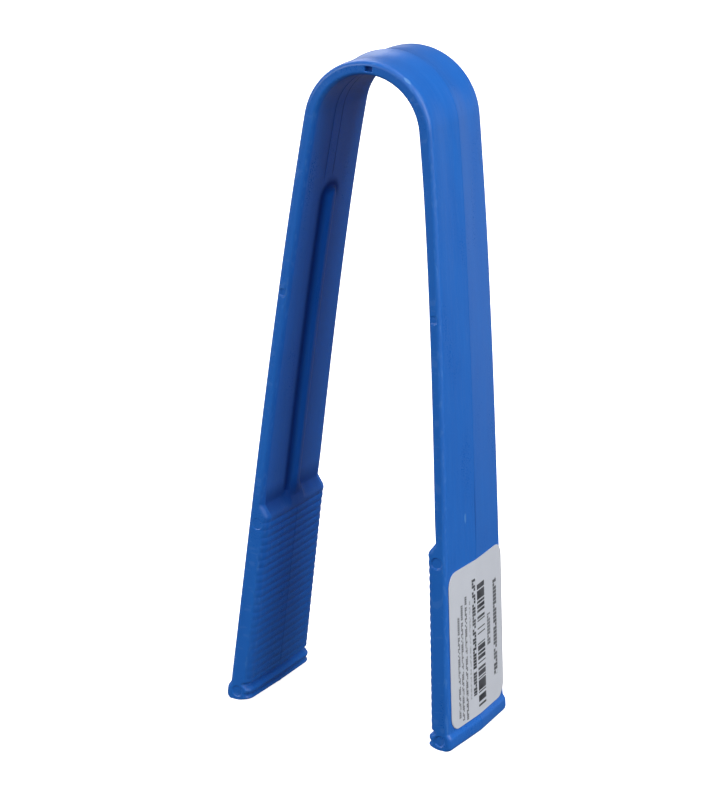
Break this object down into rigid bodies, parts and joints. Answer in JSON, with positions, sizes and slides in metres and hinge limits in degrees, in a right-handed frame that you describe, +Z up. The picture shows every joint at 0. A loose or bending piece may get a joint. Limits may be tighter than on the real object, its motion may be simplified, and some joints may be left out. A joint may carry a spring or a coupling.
{
  "type": "ice tongs",
  "caption": "Sprung plastic ice tongs: a U-shaped bow joins splayed, ribbed arms that end in toothed jaws, with a paper label on a jaw.",
  "frame": {"origin": "centre of the bounding box's bottom face, on the surface that the jaw tips stand on", "axes": "+Z up from the jaw tips to the crown of the bow, +X from the left arm to the right arm along the jaws' opening, +Y across the width of the strip towards the edge with no moulding marks"},
  "size_m": [0.0644, 0.032, 0.1657],
  "materials": {
    "moulding": "semi-gloss injection-moulded polypropylene, mid blue",
    "label": "matt printed adhesive label"
  },
  "bodies": {
    "bow": {"bow_crown": "moulding"},
    "right_leg": {"right_shoulder": "moulding", "right_arm": "moulding", "right_jaw": "moulding", "jaw_label": "label"},
    "left_leg": {"left_shoulder": "moulding", "left_arm": "moulding", "left_jaw": "moulding"}
  },
  "joints": [
    {"name": "right_flex", "type": "hinge", "parent": "bow", "child": "right_leg", "pos_m": [0.0093, 0, 0.1577], "axis": [0, 1, 0], "range_deg": [-3, 8.6], "stiffness_Nm_per_rad": 3.5},
    {"name": "left_flex", "type": "hinge", "parent": "bow", "child": "left_leg", "pos_m": [-0.0093, 0, 0.1577], "axis": [0, -1, 0], "range_deg": [-3, 8.6], "stiffness_Nm_per_rad": 3.5}
  ],
  "couplings": [
    {"joint": "left_flex", "follows": "right_flex", "ratio": 1}
  ]
}
